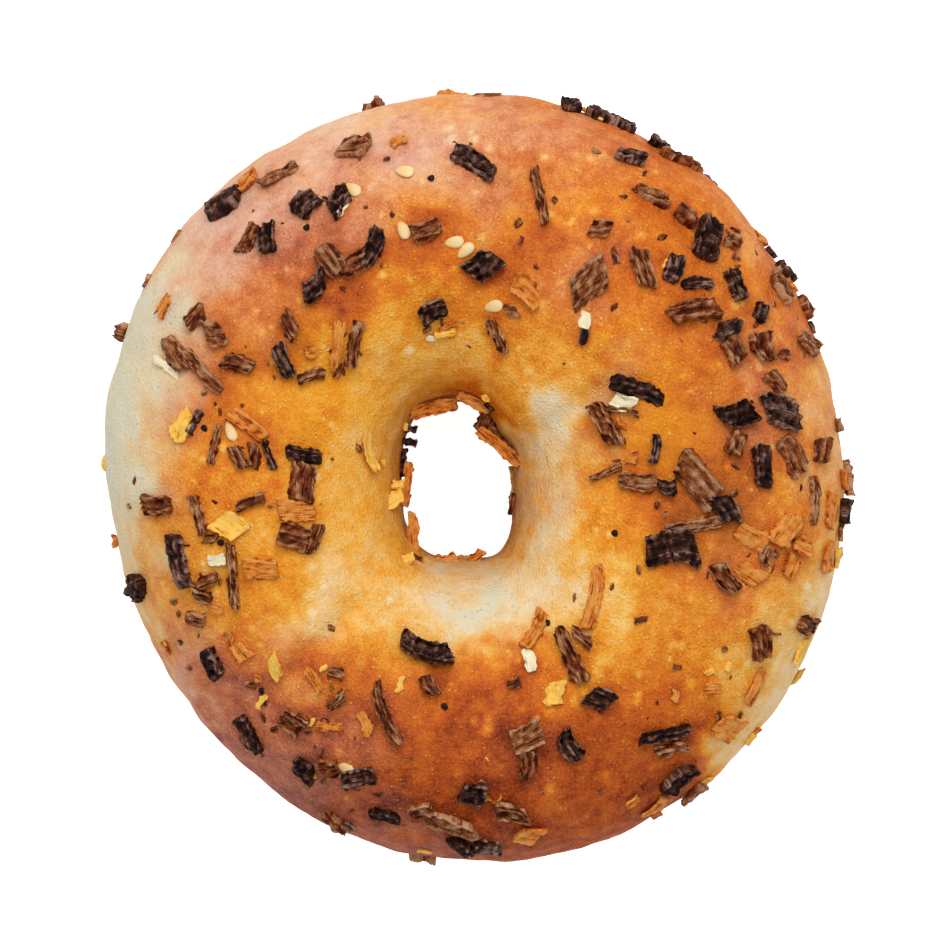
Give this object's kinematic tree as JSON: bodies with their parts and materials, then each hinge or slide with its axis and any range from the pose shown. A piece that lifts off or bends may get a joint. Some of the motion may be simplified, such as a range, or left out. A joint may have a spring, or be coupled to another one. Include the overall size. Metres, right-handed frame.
{
  "type": "toasted onion bagel",
  "caption": "Whole uncut ring-shaped bread roll with a domed browned crust, a small centre hole and a flat foot, strewn with toasted onion flakes and seeds",
  "frame": {"origin": "middle of the footprint, on the plane that the flat foot rests on", "axes": "+Z up through the hole, +X right and +Y up as the top is seen from above"},
  "size_m": [0.1143, 0.1173, 0.0386],
  "materials": {
    "crust": "satin"
  },
  "bodies": {
    "root": {"bagel": "crust"}
  },
  "joints": []
}
